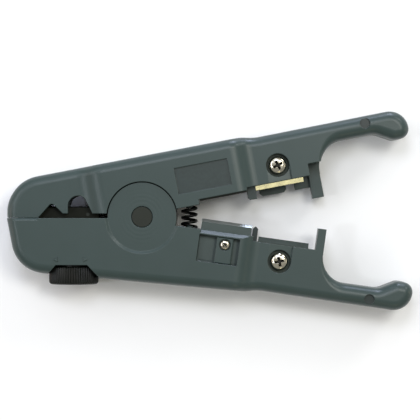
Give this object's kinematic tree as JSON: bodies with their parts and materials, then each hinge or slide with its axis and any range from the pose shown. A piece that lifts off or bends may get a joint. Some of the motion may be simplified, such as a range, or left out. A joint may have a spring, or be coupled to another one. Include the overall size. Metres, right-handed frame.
{
  "type": "cable stripper",
  "caption": "Sprung clothes-peg hand tool of moulded handles on a pivot, with flat-cable blades, a cutter and anvil, and a thumbwheel that sets the round-cable blade.",
  "frame": {"origin": "middle of the tool's footprint, on the flat back it lies on", "axes": "+X runs from the jaws to the arms, +Y from the lower to the upper handle, +Z is the thickness, up out of the front"},
  "size_m": [0.1304, 0.064, 0.019],
  "materials": {
    "body_plastic": "satin grey-green moulding",
    "black_plastic": "satin black moulding",
    "nylon": "natural nylon",
    "blade_steel": "ground blade steel",
    "screw_nickel": "nickel plated",
    "plain_steel": "plain turned steel",
    "pivot_steel": "blackened steel",
    "spring_steel": "black oiled spring wire"
  },
  "bodies": {
    "lower": {"lower_handle": "body_plastic", "pivot_pin": "pivot_steel", "pivot_clip": "plain_steel", "pivot_washer_back": "nylon", "pivot_washer_front": "nylon", "handle_spring": "spring_steel", "cutter_blade": "blade_steel", "cutter_clamp": "body_plastic", "cutter_screw": "screw_nickel", "lower_flat_blade": "blade_steel", "lower_blade_screw": "screw_nickel"},
    "upper": {"upper_handle": "body_plastic", "cutter_anvil": "black_plastic", "upper_flat_blade": "blade_steel", "upper_blade_screw": "screw_nickel"},
    "knob": {"adjuster_knob": "black_plastic", "adjuster_screw": "plain_steel", "adjuster_clip": "plain_steel"},
    "carrier": {"blade_carrier": "black_plastic", "round_blade": "blade_steel", "round_blade_pin": "plain_steel"}
  },
  "joints": [
    {"name": "handle_hinge", "type": "hinge", "parent": "lower", "child": "upper", "pos_m": [-0.0217, -0.00196, 0.0095], "axis": [0, 0, 1], "range_deg": [-16.6, 0], "stiffness_Nm_per_rad": 0.3, "springref_deg": 28.65, "deforming": ["handle_spring"]},
    {"name": "knob_turn", "type": "hinge", "parent": "lower", "child": "knob", "pos_m": [-0.0441, -0.021, 0.0095], "axis": [0, 1, 0], "range_deg": [-720, 144]},
    {"name": "carrier_slide", "type": "slide", "parent": "lower", "child": "carrier", "axis": [0, 1, 0], "range_m": [-0.002, 0.0004]}
  ],
  "couplings": [
    {"joint": "knob_turn", "follows": "carrier_slide", "rad_per_m": 6283}
  ]
}
